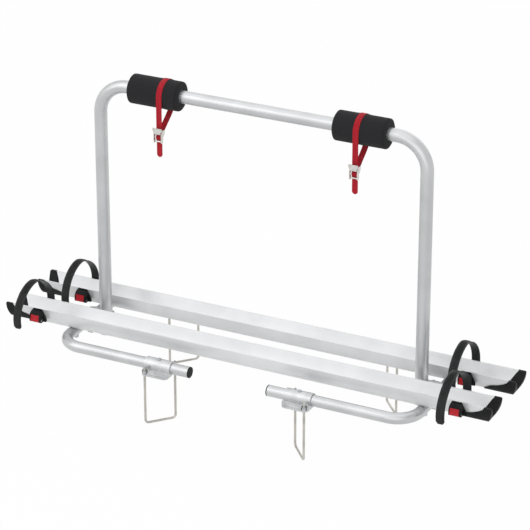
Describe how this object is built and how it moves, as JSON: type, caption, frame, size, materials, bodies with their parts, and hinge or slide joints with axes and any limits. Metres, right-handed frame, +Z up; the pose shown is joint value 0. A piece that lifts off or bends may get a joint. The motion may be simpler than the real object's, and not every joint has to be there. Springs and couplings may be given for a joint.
{
  "type": "bicycle carrier",
  "caption": "Drawbar-mounted bicycle carrier: tall tube hoop over open wheel rails, C-shaped base tubes, clamp brackets with wire loops, ratchet wheel straps and padded frame straps.",
  "frame": {"origin": "middle of the rack in the plane where its brackets rest on the drawbar", "axes": "+Z up, +X along the wheel rails to the right, -Y towards the front rail"},
  "size_m": [1.318, 0.3935, 0.8328],
  "materials": {
    "tube": "satin",
    "rail": "satin",
    "casting": "matte",
    "bracket": "satin",
    "stainless_wire": "satin",
    "fastener": "satin",
    "black_plastic": "matte",
    "black_strap": "satin",
    "red_plastic": "satin",
    "foam": "matte",
    "red_webbing": "matte",
    "plated_steel": "polished"
  },
  "bodies": {
    "frame": {"top_frame": "tube", "upright_foot_plugs": "black_plastic", "base_tube_left": "tube", "base_tube_right": "tube", "base_tube_plugs": "black_plastic", "front_rail": "rail", "rear_rail": "rail", "end_cap_front_left": "black_plastic", "end_cap_front_right": "black_plastic", "end_cap_rear_left": "black_plastic", "end_cap_rear_right": "black_plastic", "foot_clamp_left": "casting", "foot_clamp_right": "casting", "foot_clamp_bolts": "fastener", "foot_clamp_nuts": "fastener", "rail_bolts": "fastener", "rail_nuts": "fastener"},
    "bracket_front_left": {"saddle_front_left": "bracket", "u_bolt_front_left": "stainless_wire", "u_bolt_nuts_front_left": "fastener", "saddle_screw_front_left": "fastener"},
    "holder_front_left": {"wheel_buckle_front_left": "black_plastic", "lever_pin_front_left": "plated_steel", "wheel_strap_front_left": "black_strap"},
    "lever_front_left": {"buckle_lever_front_left": "red_plastic"},
    "bracket_front_right": {"saddle_front_right": "bracket", "u_bolt_front_right": "stainless_wire", "u_bolt_nuts_front_right": "fastener", "saddle_screw_front_right": "fastener"},
    "holder_front_right": {"wheel_buckle_front_right": "black_plastic", "lever_pin_front_right": "plated_steel", "wheel_strap_front_right": "black_strap"},
    "lever_front_right": {"buckle_lever_front_right": "red_plastic"},
    "bracket_rear_left": {"saddle_rear_left": "bracket", "u_bolt_rear_left": "stainless_wire", "u_bolt_nuts_rear_left": "fastener", "saddle_screw_rear_left": "fastener"},
    "holder_rear_left": {"wheel_buckle_rear_left": "black_plastic", "lever_pin_rear_left": "plated_steel", "wheel_strap_rear_left": "black_strap"},
    "lever_rear_left": {"buckle_lever_rear_left": "red_plastic"},
    "bracket_rear_right": {"saddle_rear_right": "bracket", "u_bolt_rear_right": "stainless_wire", "u_bolt_nuts_rear_right": "fastener", "saddle_screw_rear_right": "fastener"},
    "holder_rear_right": {"wheel_buckle_rear_right": "black_plastic", "lever_pin_rear_right": "plated_steel", "wheel_strap_rear_right": "black_strap"},
    "lever_rear_right": {"buckle_lever_rear_right": "red_plastic"},
    "pad_left": {"foam_pad_left": "foam", "frame_strap_left": "red_webbing", "cam_buckle_left": "plated_steel", "cam_pin_left": "plated_steel"},
    "cam_left": {"cam_lever_left": "plated_steel"},
    "pad_right": {"foam_pad_right": "foam", "frame_strap_right": "red_webbing", "cam_buckle_right": "plated_steel", "cam_pin_right": "plated_steel"},
    "cam_right": {"cam_lever_right": "plated_steel"}
  },
  "joints": [
    {"name": "bracket_front_left_slide", "type": "slide", "parent": "frame", "child": "bracket_front_left", "axis": [-1, 0, 0], "range_m": [-0.04, 0.18]},
    {"name": "holder_front_left_slide", "type": "slide", "parent": "frame", "child": "holder_front_left", "axis": [1, 0, 0], "range_m": [0, 0.015]},
    {"name": "lever_front_left_pivot", "type": "hinge", "parent": "holder_front_left", "child": "lever_front_left", "pos_m": [-0.569, -0.1292, 0.0478], "axis": [1, 0, 0], "range_deg": [0, 60], "stiffness_Nm_per_rad": 0.01, "springref_deg": -14.32},
    {"name": "bracket_front_right_slide", "type": "slide", "parent": "frame", "child": "bracket_front_right", "axis": [1, 0, 0], "range_m": [-0.04, 0.18]},
    {"name": "holder_front_right_slide", "type": "slide", "parent": "frame", "child": "holder_front_right", "axis": [-1, 0, 0], "range_m": [0, 0.015]},
    {"name": "lever_front_right_pivot", "type": "hinge", "parent": "holder_front_right", "child": "lever_front_right", "pos_m": [0.569, -0.1292, 0.0478], "axis": [1, 0, 0], "range_deg": [0, 60], "stiffness_Nm_per_rad": 0.01, "springref_deg": -14.32},
    {"name": "bracket_rear_left_slide", "type": "slide", "parent": "frame", "child": "bracket_rear_left", "axis": [-1, 0, 0], "range_m": [-0.14, 0.075]},
    {"name": "holder_rear_left_slide", "type": "slide", "parent": "frame", "child": "holder_rear_left", "axis": [1, 0, 0], "range_m": [0, 0.02]},
    {"name": "lever_rear_left_pivot", "type": "hinge", "parent": "holder_rear_left", "child": "lever_rear_left", "pos_m": [-0.528, 0.0248, 0.0478], "axis": [1, 0, 0], "range_deg": [0, 60], "stiffness_Nm_per_rad": 0.01, "springref_deg": -14.32},
    {"name": "bracket_rear_right_slide", "type": "slide", "parent": "frame", "child": "bracket_rear_right", "axis": [1, 0, 0], "range_m": [-0.14, 0.075]},
    {"name": "holder_rear_right_slide", "type": "slide", "parent": "frame", "child": "holder_rear_right", "axis": [-1, 0, 0], "range_m": [0, 0.02]},
    {"name": "lever_rear_right_pivot", "type": "hinge", "parent": "holder_rear_right", "child": "lever_rear_right", "pos_m": [0.528, 0.0248, 0.0478], "axis": [1, 0, 0], "range_deg": [0, 60], "stiffness_Nm_per_rad": 0.01, "springref_deg": -14.32},
    {"name": "pad_left_slide", "type": "slide", "parent": "frame", "child": "pad_left", "axis": [1, 0, 0], "range_m": [-0.008, 0.18]},
    {"name": "cam_left_pivot", "type": "hinge", "parent": "pad_left", "child": "cam_left", "pos_m": [-0.251, -0.04315, 0.5745], "axis": [1, 0, 0], "range_deg": [0, 75], "stiffness_Nm_per_rad": 0.01, "springref_deg": -14.32},
    {"name": "pad_right_slide", "type": "slide", "parent": "frame", "child": "pad_right", "axis": [-1, 0, 0], "range_m": [-0.008, 0.18]},
    {"name": "cam_right_pivot", "type": "hinge", "parent": "pad_right", "child": "cam_right", "pos_m": [0.2675, -0.04315, 0.5745], "axis": [1, 0, 0], "range_deg": [0, 75], "stiffness_Nm_per_rad": 0.01, "springref_deg": -14.32}
  ]
}
